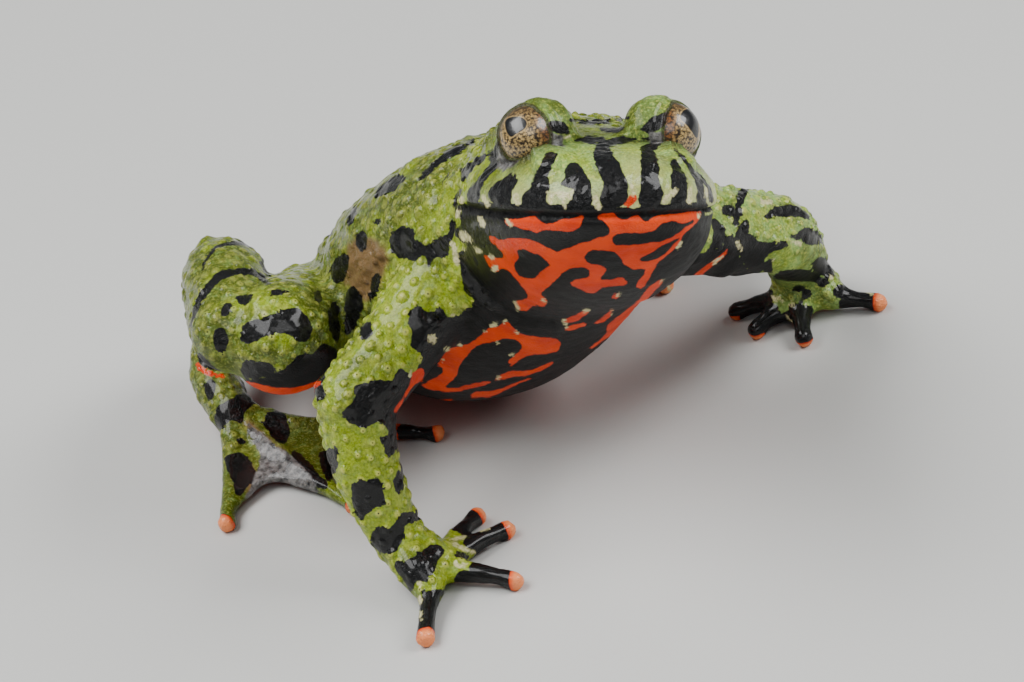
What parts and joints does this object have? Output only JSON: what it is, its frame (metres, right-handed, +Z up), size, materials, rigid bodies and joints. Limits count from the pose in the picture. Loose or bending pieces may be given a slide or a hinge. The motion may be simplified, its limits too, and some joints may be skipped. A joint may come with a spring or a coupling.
{
  "type": "fire-bellied toad",
  "caption": "Sitting fire-bellied toad with raised head, warty green and black back, orange-red and black underside and webbed hind feet.",
  "frame": {"origin": "on the floor, under the middle of the toad's bounding box", "axes": "+Z up; the toad faces -Y, and its left side is +X"},
  "size_m": [0.0428, 0.0442, 0.0279],
  "materials": {
    "skin": "wet",
    "eye": "polished"
  },
  "bodies": {
    "root": {"head": "skin", "torso": "skin", "eye_right": "eye", "eye_left": "eye", "upper_arm_right": "skin", "upper_arm_left": "skin", "forearm_right": "skin", "forearm_left": "skin", "hand_right": "skin", "hand_left": "skin", "thigh_right": "skin", "thigh_left": "skin", "shank_right": "skin", "shank_left": "skin", "foot_right": "skin", "foot_left": "skin"}
  },
  "joints": []
}
